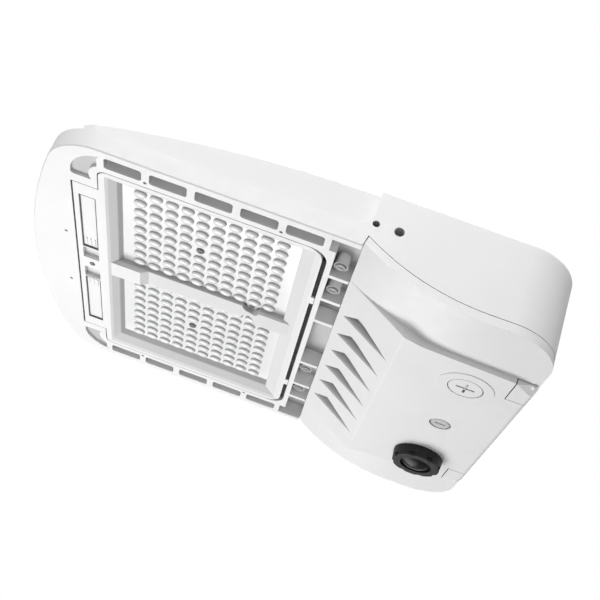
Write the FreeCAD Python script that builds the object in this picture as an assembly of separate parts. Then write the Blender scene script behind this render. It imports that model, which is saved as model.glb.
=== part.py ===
"""LED area light seen from below in use: a die-cast body with a vented front frame, a two-plate
lens engine, a finned top and a rear driver compartment closed by a hinged service door.

Model space: X runs from the rear pole face (0) to the nose, Y across, Z up, millimetres.
Z = 0 is the flat underside of the front frame. On export everything is lowered by MOUNT_Z, so
that the origin lies at the centre of the two pole bolts on the rear face.
"""
import FreeCAD, Part
import math
import os

V = FreeCAD.Vector
X_DIR = V(1, 0, 0)
Y_DIR = V(0, 1, 0)
Z_DIR = V(0, 0, 1)

# Overall body
LENGTH = 420.0
WIDTH = 340.0
NOSE_ARC_R = 480.0
NOSE_CORNER_R = 42.0
REAR_CORNER_R = 40.0
TOP_Z = 51.5
TOP_EDGE_R = 5.0
WALL = 4.0
HALF = WIDTH / 2

# Front frame, the flat slab that carries the light engine
SLAB_H = 16.0
SLAB_EDGE = 0.8
FRAME_REAR = 157.0
SLAB_TO_BOX_R = 15.0

# Finned top in front of the driver box
HUMP_FRONT = 377.0
HUMP_FLAT_END = 165.0
HUMP_ARC_R = 730.0
HUMP_LEDGE = 1.6
HUMP_LEAN = 9.0
FIN_COUNT = 18
FIN_PITCH = 16.5
FIN_T = 3.5
CHANNEL_FLOOR = 23.0
CHANNEL_REAR = 166.0

# Seam between the driver box and its door: level at the rear, sweeping up to the frame
SEAM_Z = -17.8
SWOOP_START = 60.0
SWOOP_R = 183.0
RIM = 7.7
FLANGE_T = 4.0
GROOVE_DEPTH = 1.8
GASKET_PROUD = 0.4
GASKET_W = 3.5
GASKET_INSET = 1.0
DOOR_GAP = 0.5
OPEN_REAR = 26.0
OPEN_FRONT = 147.0
OPEN_HALF = 162.0
OPEN_R = 26.0
DIVIDER_REAR = 150.0

# Pole mount on the rear face
MOUNT_Z = 16.0
MOUNT_SPACING = 40.0
MOUNT_HOLE_R = 5.5
PAD_T = 12.0
PAD_HALF_W = 34.0
WIRE_HOLE_R = 9.0
WIRE_BORE_R = 6.0

# Side slots, corner windows and pilot holes of the frame
SLOT_COUNT = 5
SLOT_L = 29.0
SLOT_W = 12.3
SLOT_PITCH = 35.0
SLOT_FIRST_X = 199.4
SLOT_Y = 156.7
SLOT_R = 2.5
SLOT_DEPTH = 20.0
WINDOW_REAR = 359.5
WINDOW_FRONT = 381.0
WINDOW_IN = 129.5
WINDOW_OUT = 162.0
WINDOW_DEPTH = 2.5
WINDOW_R = 14.0
WINDOW_NOTCH_R = 14.5
PILOT_R = 1.4
PILOT_DEPTH = 6.0
PILOT_NOSE = (390.0, 40.4)
PILOT_SIDE_X = (217.0, 322.0)
PILOT_SIDE_Y = 150.0
SIDE_HOLES = ((154.5, 21.2, 2.7), (137.0, 21.3, 3.8))
SIDE_HOLE_DEPTH = 10.0
SIDE_BOSS_R = 6.5
SIDE_BOSS_L = 9.0

# Vent cells between the light engine and the door, from the +Y side to the -Y side
VENT_FRONT = 174.5
VENT_DEEP = 14.0
VENT_SHALLOW = 8.0
VENT_CELLS = (
    (116.0, 164.0, VENT_DEEP),
    (79.0, 112.0, VENT_DEEP),
    (42.0, 75.0, VENT_DEEP),
    (5.0, 38.0, VENT_SHALLOW),
    (-40.0, 5.0, VENT_DEEP),
    (-86.0, -44.0, VENT_DEEP),
    (-116.0, -90.0, VENT_DEEP),
    (-164.0, -120.0, VENT_DEEP),
)
VENT_EAR_IN = 149.0
VENT_EAR_L = 5.5
BOSS_X = 168.0
BOSS_Y = (125.5, 89.0, -61.0, -105.5)
BOSS_R = 5.6
BOSS_Z = 4.5
BOSS_HEAD_R = 4.4
BOSS_HEAD_H = 1.2

# Light engine bezel
BEZEL_REAR = 182.5
BEZEL_FRONT = 359.0
BEZEL_HALF = 144.0
BEZEL_REAR_R = 14.0
BEZEL_FRONT_R = 7.0
TONGUE_FRONT = 380.3
TONGUE_HALF = 118.7
BEZEL_T = 5.0
BEZEL_CLEAR = 0.8
BEZEL_REAR_GAP = 3.6
TONGUE_GAP = 1.5
BEZEL_TAB_Y = (69.5, -93.0)
BEZEL_TAB_W = 10.0
BEZEL_GASKET_T = 1.0
GASKET_LIP_Z = 1.5
FUNNEL_WALL = 3.0
MOUTH_REAR = 184.5
MOUTH_FRONT = 354.0
MOUTH_HALF = 139.5
KNEE_REAR = 199.1
KNEE_FRONT = 346.6
KNEE_HALF = 129.0
KNEE_Z = 5.9
LIGHT_REAR = 199.5
LIGHT_FRONT = 344.0
LIGHT_HALF = 125.0
LENS_Z = 10.0
BAR_HALF = 10.5
BAR_Z = 5.4
BAR_REAR_FOOT = (222.0, 3.1)
BAR_NOSE_FOOT = (326.0, 1.6)
BAR_FOOT_SLOPE = 6.5
TAB_X = 228.0
TAB_Y = 7.5
TAB_R = 5.0
TAB_HEAD_R = 2.4
SCALLOP_R = 7.5
POCKET_X = (362.0, 376.0)
POCKET_Y = (26.0, 104.0)
POCKET_DEPTH = 1.4
CATCH_Y = (8.0, 25.0)
CATCH_DEPTH = 4.0
GRIP_COUNT = 3
GRIP_Y = 29.0
GRIP_L = 10.0
GRIP_W = 1.2
GRIP_PITCH = 3.6
GRIP_H = 0.6
TONGUE_SCREW_X = 368.5

# Lenses, boards and chips
LENS_COLS = 10
LENS_ROWS = 9
LENS_PITCH = 12.8
LENS_MID_X = 271.5
LENS_MID_Y = 67.0
LENS_HALF_X = 5.4
LENS_HALF_Y = 4.0
LENS_CROWN = 0.55
LENS_H = 2.6
LENS_SIDES = 8
LENS_PLATE_T = 3.0
LENS_PLATE_LAP = 2.0
LENS_SCREW_CELL = (5, 4)
CHIP_GAP = 0.4
CHIP_H = 0.8
CHIP_SIDE = 3.0
BOARD_T = 1.6
BOARD_INSET = 2.0
PAD_SHEET_T = 0.5
ENGINE_CLEAR = 0.6

# Service door
DOOR_REAR = 0.4
DOOR_FRONT = 158.0
DOOR_FRONT_LEAN = 0.19
FRAME_GAP = 0.8
DOOR_SKIN = 3.2
PANEL_Z = -30.0
PANEL_BEND = 107.0
PANEL_EDGE = ((DOOR_REAR, 110.2), (92.0, 114.5), (109.0, 119.0), (160.0, 120.0))
RAMP_TOP_Z = -0.5
BEND_R = 2.5
SHOULDER_DIP = 5.5
SHOULDER_DIP_Y = 118.0
REAR_EDGE_R = 3.8
SCOOP_COUNT = 6
SCOOP_PITCH = 31.2
SCOOP_FIRST_Y = 69.5
SCOOP_REAR = 109.5
SCOOP_FRONT = 153.9
SCOOP_DEEPS = ((127.0, 6.8), (147.0, 8.2))
SCOOP_NEAR_X = 141.0
SCOOP_W = 17.0
SCOOP_OUT = 0.2
FITTING_X = 47.5
FITTING_Y = 76.7

# Door hinge at the rear edge
HINGE_X = 4.2
HINGE_Z = -26.0
HINGE_PIN_R = 2.0
HINGE_RUN = 0.05
HINGE_TAB_Y = (82.5, 110.5)
HINGE_TAB_REAR = 0.4
HINGE_TAB_FRONT = 17.0
HINGE_TAB_BEVEL = 5.0
HINGE_PIN_END = 6.0
HINGE_SIDE_GAP = 0.8
HINGE_FRONT_GAP = 0.9
HINGE_TOP_RELIEF = 6.4

# Fittings in the door
SCREW_RECESS_R = 9.4
SCREW_RECESS_DEPTH = 2.4
SCREW_HEAD_R = 8.4
SCREW_HEAD_H = 2.2
SCREW_PAD_R = 14.0
SCREW_SHANK_R = 3.0
SCREW_REACH = 7.0
POST_R = 6.5
POST_GAP = 0.6
DISC_R = 22.5
DISC_H = 0.6
PLUG_HEAD_R = 13.6
PLUG_HEAD_H = 2.0
PLUG_CROSS_L = 15.0
PLUG_CROSS_W = 1.9
PLUG_CROSS_DEPTH = 1.6
PLUG_GAP = 0.6
FITTING_PAD_R = 19.0
FITTING_PAD_H = 2.6
FITTING_HOLE_R = 10.2
FITTING_SHANK_R = 10.0
FITTING_SEAL_T = 0.8
NUT_AF = 27.0
NUT_T = 5.0
SENSOR_R = 22.3
SENSOR_H = 9.5
SENSOR_LOBES = 8
SENSOR_LOBE_R = 4.2
SENSOR_TAPER = 1.0
SENSOR_LENS_R = 14.0
SENSOR_LENS_H = 5.0

# What the driver box holds
DRIVER_L = 176.0
DRIVER_W = 62.0
DRIVER_H = 34.0
DRIVER_X = 110.0
DRIVER_Y = 52.0
DRIVER_EDGE_R = 4.0
DRIVER_EAR = 12.0
DRIVER_EAR_W = 38.0
DRIVER_SCREW_BITE = 2.5
DRIVER_EAR_T = 2.0
SURGE_L = 56.0
SURGE_W = 40.0
SURGE_H = 28.0
SURGE_X = 112.0
SURGE_Y = -0.6 * HALF
TERMINAL_L = 46.0
TERMINAL_W = 22.0
TERMINAL_H = 20.0
TERMINAL_X = 62.0
TERMINAL_Y = -72.0
TERMINAL_POLES = 3
FEED_Y = 21.0
FEED_Z = 15.2
FEED_R = 3.2
FEED_LIP = 1.2
FEED_BORE_R = 2.0
GROUND_X = 30.0
GROUND_Y = -112.0
GROUND_HEAD_R = 4.4
GROUND_HEAD_H = 2.4

# Common screw sizes
SMALL_HEAD_R = 3.4
SMALL_HEAD_H = 1.6
SMALL_SHANK_R = 1.5
SMALL_REACH = 9.0
SCREW_CLEAR = 0.2
THREAD_CLEAR = 0.05
CUT = 1.0
TALL = 60.0


def arc(center, radius, start_deg, end_deg):
    """Circular edge in the XY plane about center, between two angles."""
    points = []
    for part in (0.0, 0.5, 1.0):
        angle = math.radians(start_deg + (end_deg - start_deg) * part)
        points.append(V(center[0] + radius * math.cos(angle), center[1] + radius * math.sin(angle), 0))
    return Part.Arc(*points).toShape()


def join_loop(edges):
    """Face inside a loop of edges, with straight runs added between their ends."""
    run = []
    for index, edge in enumerate(edges):
        run.append(edge)
        start = edge.lastVertex(True).Point
        end = edges[(index + 1) % len(edges)].firstVertex(True).Point
        if start.distanceToPoint(end) > 1e-6:
            run.append(Part.makeLine(start, end))
    return Part.Face(Part.Wire(run))


def raised(face, low, high):
    """Prism of a flat plan face between two heights."""
    base = face.copy()
    base.translate(V(0, 0, low))
    return base.extrude(V(0, 0, high - low))


def body_plan(inset=0.0):
    """Plan of the whole light: straight sides, rounded rear corners and a bowed nose."""
    corner_y = HALF - NOSE_CORNER_R
    nose_x = LENGTH - NOSE_ARC_R
    corner_x = nose_x + math.sqrt((NOSE_ARC_R - NOSE_CORNER_R) ** 2 - corner_y ** 2)
    bow = math.degrees(math.atan2(corner_y, corner_x - nose_x))
    rear_y = HALF - REAR_CORNER_R
    return join_loop([
        arc((nose_x, 0), NOSE_ARC_R - inset, -bow, bow),
        arc((corner_x, corner_y), NOSE_CORNER_R - inset, bow, 90),
        arc((REAR_CORNER_R, rear_y), REAR_CORNER_R - inset, 90, 180),
        arc((REAR_CORNER_R, -rear_y), REAR_CORNER_R - inset, 180, 270),
        arc((corner_x, -corner_y), NOSE_CORNER_R - inset, -90, -bow),
    ])


def round_plan(x0, x1, y0, y1, radius):
    """Plan of a rectangle with four equal round corners."""
    return join_loop([
        arc((x1 - radius, y1 - radius), radius, 0, 90),
        arc((x0 + radius, y1 - radius), radius, 90, 180),
        arc((x0 + radius, y0 + radius), radius, 180, 270),
        arc((x1 - radius, y0 + radius), radius, 270, 360),
    ])


def opening_plan(grow):
    """Plan of the driver box opening, grown outwards all round."""
    return round_plan(
        OPEN_REAR - grow, OPEN_FRONT + grow, -OPEN_HALF - grow, OPEN_HALF + grow, OPEN_R + grow
    )


def block(x0, x1, y0, y1, z0, z1):
    """Box between two corners."""
    return Part.makeBox(x1 - x0, y1 - y0, z1 - z0, V(x0, y0, z0))


def rod(radius, base, length, axis=Z_DIR):
    """Cylinder from a base point along an axis."""
    return Part.makeCylinder(radius, length, base, axis)


def profile_wire(points, y, curves):
    """Closed side profile at y: straight runs between (x, z) points, and for each index in curves
    a curve through the given middle point to the next point."""
    edges = []
    for index, (x, z) in enumerate(points):
        x_next, z_next = points[(index + 1) % len(points)]
        start = V(x, y, z)
        end = V(x_next, y, z_next)
        if index in curves:
            middle = V(curves[index][0], y, curves[index][1])
            edges.append(Part.Arc(start, middle, end).toShape())
        else:
            edges.append(Part.makeLine(start, end))
    return Part.Wire(edges)


def across(points, half, curves=None):
    """Prism of a side profile across the light, half to each side of its middle."""
    return Part.Face(profile_wire(points, -half, curves or {})).extrude(V(0, 2 * half, 0))


def seam_height(x, drop=0.0):
    """Height of the seam at x, lowered by drop: level, then an arc that sweeps up."""
    if x <= SWOOP_START:
        return SEAM_Z - drop
    return SEAM_Z - drop + SWOOP_R - math.sqrt(SWOOP_R ** 2 - (x - SWOOP_START) ** 2)


def band_profile(top_drop, bottom_drop, late=0.0):
    """Points and curves of the side profile between two copies of the seam curve. The lower copy
    starts its sweep later by the given length."""
    x0 = -20.0
    x1 = FRAME_REAR + 5.0
    low_start = SWOOP_START + late
    points = [
        (x0, seam_height(x0, top_drop)),
        (x0, seam_height(x0, bottom_drop)),
        (low_start, seam_height(SWOOP_START, bottom_drop)),
        (x1, seam_height(x1 - late, bottom_drop)),
        (x1, seam_height(x1, top_drop)),
        (SWOOP_START, seam_height(SWOOP_START, top_drop)),
    ]
    middle = (SWOOP_START + x1) / 2
    low_middle = (low_start + x1) / 2
    curves = {
        2: (low_middle, seam_height(low_middle - late, bottom_drop)),
        4: (middle, seam_height(middle, top_drop)),
    }
    return points, curves


def seam_band(top_drop, bottom_drop):
    """Solid between two copies of the seam curve, across the whole width and a little more."""
    points, curves = band_profile(top_drop, bottom_drop)
    return across(points, HALF + 20.0, curves)


def shoulder_band():
    """Rim and shoulder of the door below the seam. Towards the panel the shoulder hangs lower
    where the seam sweeps up, so that it runs out into the ramp."""
    wires = []
    reach = HALF + CUT
    inner = SHOULDER_DIP_Y
    for y, late in ((-reach, 0.0), (-inner, SHOULDER_DIP), (inner, SHOULDER_DIP), (reach, 0.0)):
        points, curves = band_profile(DOOR_GAP, RIM, late)
        wires.append(profile_wire(points, y, curves))
    return Part.makeLoft(wires, True, True)


def hump_height(x):
    """Height of the finned top: level with the box, then falling along an arc to the nose."""
    if x <= HUMP_FLAT_END:
        return TOP_Z
    return TOP_Z - HUMP_ARC_R + math.sqrt(HUMP_ARC_R ** 2 - (x - HUMP_FLAT_END) ** 2)


def fused(shapes):
    """One solid from overlapping shapes."""
    first = shapes[0]
    return first.fuse(shapes[1:]).removeSplitter()


def mirrored(shape):
    """Copy of a shape on the other side of the light."""
    return shape.mirror(V(0, 0, 0), Y_DIR)


def hexagon(flats, base, height):
    """Hexagonal prism standing on a base point."""
    corners = []
    for index in range(7):
        angle = math.radians(60 * index)
        reach = flats / math.sqrt(3)
        corners.append(base + V(reach * math.cos(angle), reach * math.sin(angle), 0))
    return Part.Face(Part.makePolygon(corners)).extrude(V(0, 0, height))


def screw(x, y, seat_z, reach, head_r=SMALL_HEAD_R, head_h=SMALL_HEAD_H, shank_r=SMALL_SHANK_R):
    """Pan-head screw driven upwards: its head hangs below seat_z and its shank stands above it."""
    head = rod(head_r, V(x, y, seat_z - head_h), head_h)
    rim = [edge for edge in head.Edges if abs(edge.CenterOfMass.z - (seat_z - head_h)) < 1e-6]
    head = head.makeChamfer(head_h * 0.4, rim)
    half_l = head_r * 0.55
    half_w = head_r * 0.12
    face_z = seat_z - head_h
    drive = block(x - half_l, x + half_l, y - half_w, y + half_w, face_z, face_z + head_h * 0.5)
    return fused([head, rod(shank_r, V(x, y, seat_z), reach)]).cut(drive)


def box_inside_top():
    """Height of the driver box ceiling."""
    return TOP_Z - WALL


def engine_seat():
    """Height of the flat that the boards are pressed against."""
    return LENS_Z + LENS_PLATE_T + CHIP_GAP + CHIP_H + BOARD_T + PAD_SHEET_T


def board_face():
    """Height of the boards' lit side."""
    return LENS_Z + LENS_PLATE_T + CHIP_GAP + CHIP_H


def lens_centres(side):
    """Lens places on one plate, without the place that its screw takes."""
    places = []
    for col in range(LENS_COLS):
        for row in range(LENS_ROWS):
            if (col, row) != LENS_SCREW_CELL:
                places.append(lens_place(col, row, side))
    return places


def lens_place(col, row, side):
    """Centre of one place in the lens grid of the plate on the given side."""
    x = LENS_MID_X + (col - (LENS_COLS - 1) / 2) * LENS_PITCH
    y = LENS_MID_Y + (row - (LENS_ROWS - 1) / 2) * LENS_PITCH
    return x, side * y


def bezel_plan(grow, rear_grow, nose_grow):
    """T-shaped plan of the bezel: a rectangle with a narrower tongue towards the nose."""
    rear = BEZEL_REAR - rear_grow
    front = BEZEL_FRONT + grow
    half = BEZEL_HALF + grow
    tongue_front = TONGUE_FRONT + nose_grow
    tongue_half = TONGUE_HALF + grow
    rear_r = BEZEL_REAR_R + grow
    front_r = BEZEL_FRONT_R
    return join_loop([
        arc((rear + rear_r, half - rear_r), rear_r, 90, 180),
        arc((rear + rear_r, -half + rear_r), rear_r, 180, 270),
        arc((front - front_r, -half + front_r), front_r, 270, 360),
        Part.makeLine(V(front, -tongue_half, 0), V(tongue_front, -tongue_half, 0)),
        Part.makeLine(V(tongue_front, tongue_half, 0), V(front, tongue_half, 0)),
        arc((front - front_r, half - front_r), front_r, 0, 90),
    ])


def make_top():
    """Heat sink block: the side profile of the top, leaned in at both sides and cut to the plan."""
    front_z = hump_height(HUMP_FRONT)
    middle = (HUMP_FLAT_END + HUMP_FRONT) / 2
    low = SLAB_H - CUT
    profile = across(
        [(DIVIDER_REAR, low), (HUMP_FRONT, low), (HUMP_FRONT, front_z),
         (HUMP_FLAT_END, TOP_Z), (DIVIDER_REAR, TOP_Z)],
        HALF,
        {2: (middle, hump_height(middle))},
    )
    foot = HALF - HUMP_LEDGE
    head = foot - HUMP_LEAN
    section = Part.makePolygon([
        V(DIVIDER_REAR, -foot, low), V(DIVIDER_REAR, foot, low),
        V(DIVIDER_REAR, head, TOP_Z), V(DIVIDER_REAR, -head, TOP_Z), V(DIVIDER_REAR, -foot, low),
    ])
    leaned = Part.Face(section).extrude(V(LENGTH, 0, 0))
    return profile.common(leaned).common(raised(body_plan(HUMP_LEDGE), low, TOP_Z))


def make_box():
    """Driver box block above the seam, with its top edges rounded."""
    box = raised(body_plan(), SEAM_Z - CUT, TOP_Z)
    box = box.common(block(-CUT, FRAME_REAR, -HALF - CUT, HALF + CUT, SEAM_Z - 2 * CUT, TOP_Z + CUT))
    top_edges = [
        edge for edge in box.Edges
        if edge.BoundBox.ZMin > TOP_Z - 1e-6 and edge.BoundBox.XMin < FRAME_REAR - 1e-6
    ]
    return box.makeFillet(TOP_EDGE_R, top_edges).cut(seam_band(0, TALL))


def make_slab():
    """Front frame slab, with the hollow curve that runs up from it to the driver box."""
    slab = raised(body_plan(), 0, SLAB_H)
    slab = slab.makeChamfer(SLAB_EDGE, [edge for edge in slab.Edges if edge.BoundBox.ZMax < 0.01])
    slab = slab.common(block(FRAME_REAR - CUT, LENGTH + CUT, -HALF - CUT, HALF + CUT, -CUT, SLAB_H + CUT))
    radius = SLAB_TO_BOX_R
    bend = math.sqrt(0.5) * radius
    web = across(
        [(FRAME_REAR - CUT, SLAB_H - CUT), (FRAME_REAR + radius, SLAB_H - CUT), (FRAME_REAR + radius, SLAB_H),
         (FRAME_REAR, SLAB_H + radius), (FRAME_REAR - CUT, SLAB_H + radius)],
        HALF,
        {2: (FRAME_REAR + radius - bend, SLAB_H + radius - bend)},
    )
    return slab.fuse(web)


def box_cavity():
    """Space inside the driver box: a wide part above the rim flange, and the opening through it."""
    wide = raised(body_plan(WALL), SEAM_Z, box_inside_top())
    wide = wide.common(block(0, DIVIDER_REAR, -HALF, HALF, SEAM_Z, TOP_Z))
    wide = wide.cut(seam_band(-FLANGE_T, TALL))
    return wide.fuse(raised(opening_plan(0), SEAM_Z - CUT, box_inside_top()))


def rib_channels():
    """Channels between the fins, open at the top and running out at the nose."""
    channels = []
    for index in range(FIN_COUNT + 1):
        middle = (index - FIN_COUNT / 2) * FIN_PITCH
        half = (FIN_PITCH - FIN_T) / 2
        channels.append(
            block(CHANNEL_REAR, LENGTH, middle - half, middle + half, CHANNEL_FLOOR, TOP_Z + CUT)
        )
    return channels


def side_slots():
    """Air slots along both sides of the frame."""
    plan = round_plan(-SLOT_L / 2, SLOT_L / 2, -SLOT_W / 2, SLOT_W / 2, SLOT_R)
    slots = []
    for side in (-1, 1):
        for index in range(SLOT_COUNT):
            slot = raised(plan, -CUT, SLOT_DEPTH)
            slot.translate(V(SLOT_FIRST_X + index * SLOT_PITCH, side * SLOT_Y, 0))
            slots.append(slot)
    return slots


def corner_windows():
    """Two pockets beside the tongue, rounded towards the nose corners and notched by the bezel corner."""
    notch_centre = V(BEZEL_FRONT - BEZEL_FRONT_R, BEZEL_HALF - BEZEL_FRONT_R, -2 * CUT)
    outer = join_loop([
        arc((WINDOW_FRONT - 2 * WINDOW_R, WINDOW_OUT - 2 * WINDOW_R), 2 * WINDOW_R, 0, 80),
        Part.makeLine(V(WINDOW_REAR, WINDOW_OUT - SLOT_R, 0), V(WINDOW_REAR, WINDOW_IN, 0)),
        arc((WINDOW_FRONT - SLOT_R, WINDOW_IN + SLOT_R), SLOT_R, 270, 360),
    ])
    pocket = raised(outer, -CUT, WINDOW_DEPTH)
    pocket = pocket.cut(rod(WINDOW_NOTCH_R, notch_centre, WINDOW_DEPTH + 3 * CUT))
    return [pocket, mirrored(pocket)]


def vent_cells():
    """Cells between the light engine and the door, with the bosses standing in them."""
    cells = []
    for low, high, depth in VENT_CELLS:
        cell = block(FRAME_REAR, VENT_FRONT, low, high, -CUT, depth)
        for y in BOSS_Y:
            if low < y < high:
                cell = cell.cut(rod(BOSS_R, V(BOSS_X, y, BOSS_Z), depth))
        cells.append(cell)
    ear_out = VENT_CELLS[0][1]
    ear = block(VENT_FRONT - CUT, VENT_FRONT + VENT_EAR_L, VENT_EAR_IN, ear_out, -CUT, VENT_DEEP)
    behind = block(DIVIDER_REAR, FRAME_REAR + SLAB_H, -HALF - CUT, HALF + CUT, -CUT, SLAB_H)
    gap = behind.cut(ahead_of(DOOR_FRONT + FRAME_GAP)).common(seam_band(0, TALL))
    return cells + [ear, mirrored(ear), gap]


def ahead_of(x):
    """Everything in front of the leaning plane that meets the frame's underside at x."""
    lean = DOOR_FRONT_LEAN * TALL
    return across(
        [(x + lean, -TALL), (x - lean, TALL), (LENGTH, TALL), (LENGTH, -TALL)], HALF + 2 * CUT
    )


def gasket_ring(top_drop, bottom_drop):
    """Ring round the driver box opening, between two copies of the seam curve."""
    ring = raised(opening_plan(GASKET_INSET + GASKET_W), -TALL, TALL)
    ring = ring.cut(raised(opening_plan(GASKET_INSET), -TALL - CUT, TALL + CUT))
    return ring.common(seam_band(top_drop, bottom_drop))


def frame_holes():
    """Pilot holes for add-on shields, side wall holes and the holes for this light's own screws."""
    holes = []
    for side in (-1, 1):
        places = [(PILOT_NOSE[0], side * PILOT_NOSE[1])]
        places += [(x, side * PILOT_SIDE_Y) for x in PILOT_SIDE_X]
        holes += [rod(PILOT_R, V(x, y, -CUT), PILOT_DEPTH + CUT) for x, y in places]
        for x, z, radius in SIDE_HOLES:
            start = V(x, side * (HALF + CUT), z)
            holes.append(rod(radius, start, SIDE_HOLE_DEPTH + CUT, V(0, -side, 0)))
        x, y = lens_place(*LENS_SCREW_CELL, side)
        holes.append(rod(SMALL_SHANK_R + THREAD_CLEAR, V(x, y, LENS_Z), SMALL_REACH + CUT))
        tab_start = V(TAB_X, side * TAB_Y, LENS_Z)
        holes.append(rod(SMALL_SHANK_R + THREAD_CLEAR, tab_start, SMALL_REACH + CUT))
    holes.append(rod(SMALL_SHANK_R + THREAD_CLEAR, V(TONGUE_SCREW_X, 0, 0), SMALL_REACH + LENS_Z))
    for y in BOSS_Y:
        holes.append(rod(SMALL_SHANK_R + THREAD_CLEAR, V(BOSS_X, y, BOSS_Z - CUT), SMALL_REACH + 2 * CUT))
    holes.append(rod(FEED_R, V(DIVIDER_REAR - CUT, FEED_Y, FEED_Z), LIGHT_REAR - DIVIDER_REAR, X_DIR))
    return holes


def make_main_housing():
    """Die-cast body: box, slab and finned top in one, with everything cut out of it."""
    solid = fused([make_slab(), make_box(), make_top()])
    cuts = [box_cavity()]
    cuts += rib_channels() + side_slots() + corner_windows() + vent_cells()
    depth = BEZEL_T + BEZEL_GASKET_T
    cuts.append(raised(bezel_plan(BEZEL_CLEAR, BEZEL_REAR_GAP, TONGUE_GAP), -CUT, depth))
    cuts.append(raised(engine_pocket_plan(), -CUT, engine_seat()))
    cuts.append(gasket_ring(-GROOVE_DEPTH, CUT))
    solid = solid.cut(cuts)
    pad = block(CUT, PAD_T, -PAD_HALF_W, PAD_HALF_W, SEAM_Z + CUT, box_inside_top() + CUT)
    post_low = post_end()
    post = rod(POST_R, V(FITTING_X, 0, post_low), box_inside_top() + CUT - post_low)
    boss_x, boss_z = SIDE_HOLES[1][:2]
    boss = rod(SIDE_BOSS_R, V(boss_x, HALF - WALL + CUT, boss_z), SIDE_BOSS_L, V(0, -1, 0))
    solid = fused([solid, pad, post, boss, mirrored(boss)])
    holes = frame_holes()
    for z in (MOUNT_Z - MOUNT_SPACING / 2, MOUNT_Z + MOUNT_SPACING / 2):
        holes.append(rod(MOUNT_HOLE_R, V(-CUT, 0, z), PAD_T + 2 * CUT, X_DIR))
    holes.append(rod(WIRE_HOLE_R, V(-CUT, 0, MOUNT_Z), PAD_T + 2 * CUT, X_DIR))
    holes.append(rod(SCREW_SHANK_R, V(FITTING_X, 0, post_low - CUT), SCREW_REACH * 2))
    top_screws = [(DRIVER_X, y) for y in driver_screw_rows()] + [(GROUND_X, GROUND_Y)]
    for x, y in top_screws:
        start = V(x, y, box_inside_top() - CUT)
        holes.append(rod(SMALL_SHANK_R + THREAD_CLEAR, start, DRIVER_SCREW_BITE + 1.5 * CUT))
    return solid.cut(holes)


def engine_pocket_plan():
    """Plan of the pocket that holds the funnel, plates and boards."""
    return funnel_plan(FUNNEL_WALL + ENGINE_CLEAR)


def funnel_plan(grow):
    """Plan of the funnel at its knee, grown outwards all round."""
    return round_plan(
        KNEE_REAR - grow, KNEE_FRONT + grow, -KNEE_HALF - grow, KNEE_HALF + grow, FUNNEL_WALL
    )


def post_end():
    """Height of the lower end of the post that takes the door screw."""
    return PANEL_Z + SCREW_RECESS_DEPTH + DOOR_SKIN + SCREW_REACH + POST_GAP


def panel_plan(shrink=0.0, rear=DOOR_REAR, front=DOOR_FRONT + 2 * CUT):
    """Plan of the raised door panel, which widens towards the ramp."""
    stops = [rear] + [x for x, half in PANEL_EDGE if rear < x < front] + [front]
    left = [V(x, panel_half(x) - shrink, 0) for x in stops]
    right = [V(x, shrink - panel_half(x), 0) for x in reversed(stops)]
    return Part.Face(Part.makePolygon(left + right + left[:1]))


def panel_half(x):
    """Half width of the raised door panel at x."""
    for (x0, half0), (x1, half1) in zip(PANEL_EDGE, PANEL_EDGE[1:]):
        if x <= x1:
            return half0 + (x - x0) * (half1 - half0) / (x1 - x0)
    return PANEL_EDGE[-1][1]


def ramp_height(x):
    """Height of the door's ramp, which climbs from the flat panel to the frame."""
    return PANEL_Z + (x - PANEL_BEND) * (RAMP_TOP_Z - PANEL_Z) / (DOOR_FRONT - PANEL_BEND)


def panel_profile(lift):
    """Solid above the panel's flat and ramp, raised by lift, with the bend and rear edge rounded."""
    front = DOOR_FRONT + 20.0
    solid = across(
        [(DOOR_REAR, 40.0), (DOOR_REAR, PANEL_Z + lift), (PANEL_BEND, PANEL_Z + lift),
         (front, ramp_height(front) + lift), (front, 40.0)],
        HALF,
    )
    bend = [edge for edge in solid.Edges if is_cross_edge(edge, PANEL_BEND, PANEL_Z + lift)]
    solid = solid.makeFillet(BEND_R, bend)
    rear = [edge for edge in solid.Edges if is_cross_edge(edge, DOOR_REAR, PANEL_Z + lift)]
    return solid.makeFillet(REAR_EDGE_R, rear)


def is_cross_edge(edge, x, z):
    """True for a straight edge across the light at the given x and z."""
    middle = edge.CenterOfMass
    return edge.BoundBox.YLength > HALF and abs(middle.x - x) < 0.01 and abs(middle.z - z) < 0.01


def scoop(y):
    """Gill in the ramp: a pointed hollow with one upright side, which is deepest at two points."""
    tip = V(SCOOP_REAR, y, ramp_height(SCOOP_REAR) - SCOOP_OUT)
    edge = V(SCOOP_FRONT, y, ramp_height(SCOOP_FRONT) - SCOOP_OUT)
    near = V(SCOOP_NEAR_X, y + SCOOP_W, ramp_height(SCOOP_NEAR_X) - SCOOP_OUT)
    rear_deep, front_deep = [V(x, y, ramp_height(x) + depth) for x, depth in SCOOP_DEEPS]
    return solid_of([
        (tip, edge, near), (tip, edge, front_deep, rear_deep),
        (tip, near, rear_deep), (rear_deep, near, front_deep), (edge, near, front_deep),
    ])


def solid_of(faces):
    """Solid closed by flat faces, each given by its corners."""
    return Part.Solid(Part.Shell([
        Part.Face(Part.makePolygon(list(corners) + [corners[0]])) for corners in faces
    ]))


def hinge_notches():
    """Notches at the door's rear edge that clear the hinge tabs through the door's swing."""
    notches = []
    for side in (-1, 1):
        low, high = sorted(side * y for y in HINGE_TAB_Y)
        notches.append(block(
            DOOR_REAR - 2 * CUT, HINGE_TAB_FRONT + HINGE_FRONT_GAP,
            low - HINGE_SIDE_GAP, high + HINGE_SIDE_GAP, PANEL_Z - CUT, SEAM_Z + CUT,
        ))
    return notches


def door_plan():
    """Plan of the door: the body plan between the door's rear and front edges."""
    region = raised(body_plan(), -TALL, TALL)
    region = region.common(block(DOOR_REAR, LENGTH, -HALF - CUT, HALF + CUT, -TALL, TALL))
    return region.cut(ahead_of(DOOR_FRONT))


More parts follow.
